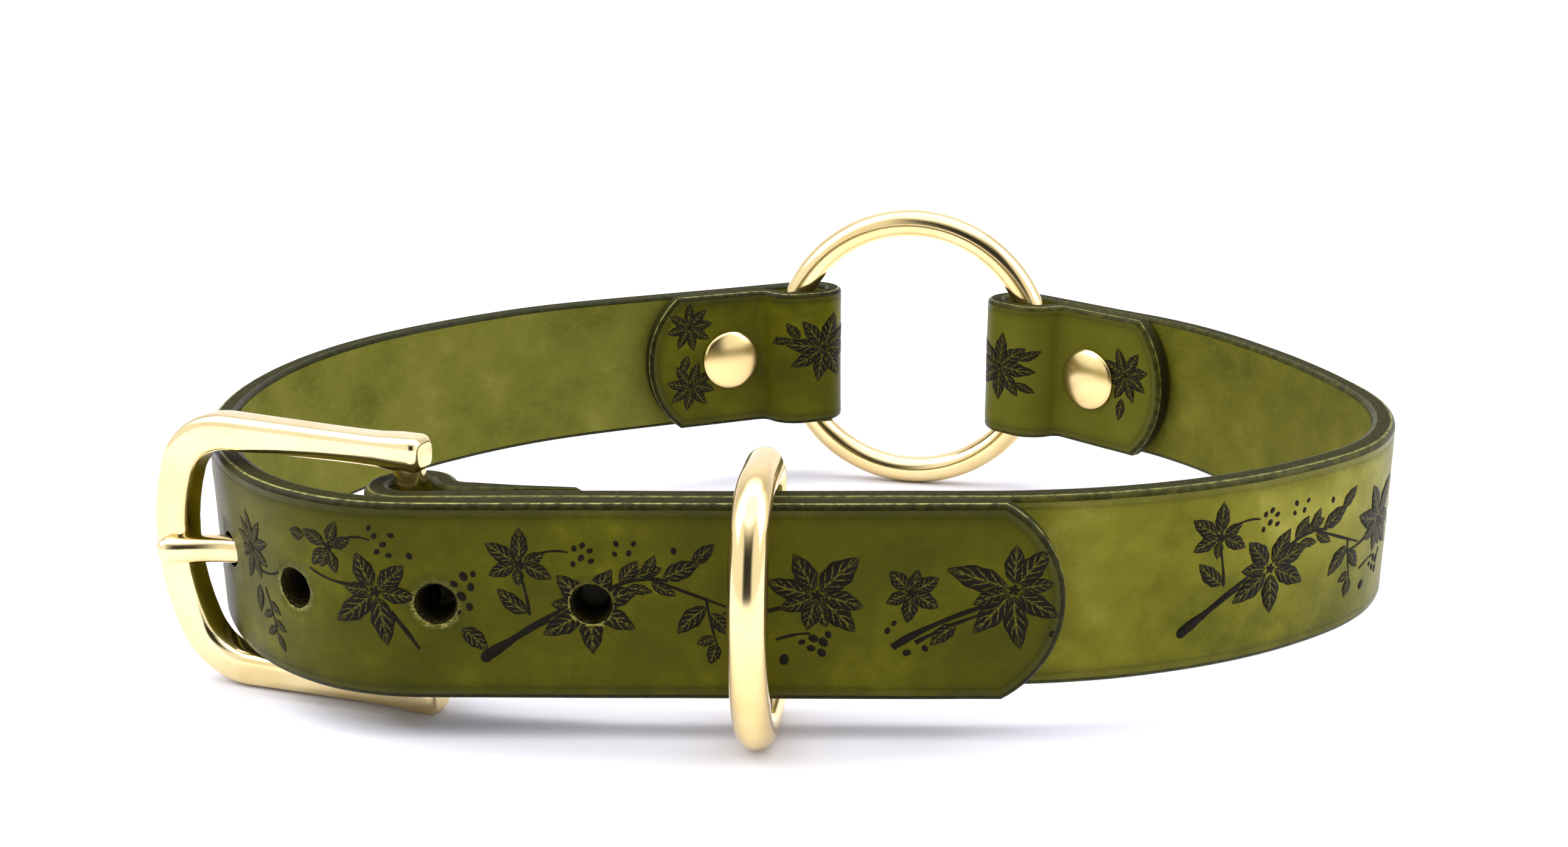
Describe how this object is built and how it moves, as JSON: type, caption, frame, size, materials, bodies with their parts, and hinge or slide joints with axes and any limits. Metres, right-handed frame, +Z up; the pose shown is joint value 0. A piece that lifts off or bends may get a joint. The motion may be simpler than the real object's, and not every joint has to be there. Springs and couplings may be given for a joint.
{
  "type": "buckled dog collar",
  "caption": "Buckled leather dog collar with a round back ring between two folded strap loops, a D-ring over the lap and a horseshoe buckle.",
  "frame": {"origin": "on the surface the collar stands on, under the middle of its bounding box", "axes": "+Z up, the buckled front faces -Y, +X runs along the front from the buckle towards the tongue's tip"},
  "size_m": [0.171, 0.1464, 0.0533],
  "materials": {
    "leather_tongue": "waxed mottled olive grain with a dark botanical print",
    "leather_buckle": "waxed mottled olive grain with a dark botanical print",
    "ring_brass": "polished pale brass",
    "buckle_brass": "polished pale brass",
    "rivet_brass": "polished pale brass"
  },
  "bodies": {
    "straps": {"tongue_strap": "leather_tongue", "buckle_strap": "leather_buckle", "rivet_caps": "rivet_brass", "rivet_posts": "rivet_brass", "heel_rivet_cap": "rivet_brass", "heel_rivet_post": "rivet_brass"},
    "o_ring": {"back_ring": "ring_brass"},
    "buckle": {"buckle_frame": "buckle_brass"},
    "prong": {"buckle_prong": "buckle_brass"},
    "d_ring": {"keeper_ring": "ring_brass"}
  },
  "joints": [
    {"name": "o_ring_turn", "type": "hinge", "parent": "straps", "child": "o_ring", "pos_m": [0.0209, 0.05992, 0.02665], "axis": [-0.2281, -0.9723, -0.0507], "continuous": true},
    {"name": "buckle_swing", "type": "hinge", "parent": "straps", "child": "buckle", "pos_m": [-0.04763, -0.05117, 0.01881], "axis": [-0.001, -0.0518, 0.9987], "range_deg": [-1, 0]},
    {"name": "prong_swing", "type": "hinge", "parent": "buckle", "child": "prong", "pos_m": [-0.04763, -0.05117, 0.01881], "axis": [-0.001, -0.0518, 0.9987], "range_deg": [0, 1]},
    {"name": "d_ring_swing", "type": "hinge", "parent": "straps", "child": "d_ring", "pos_m": [-0.00293, -0.05105, 0.01856], "axis": [-0.001, -0.0518, 0.9987], "range_deg": [-20, 30]}
  ]
}
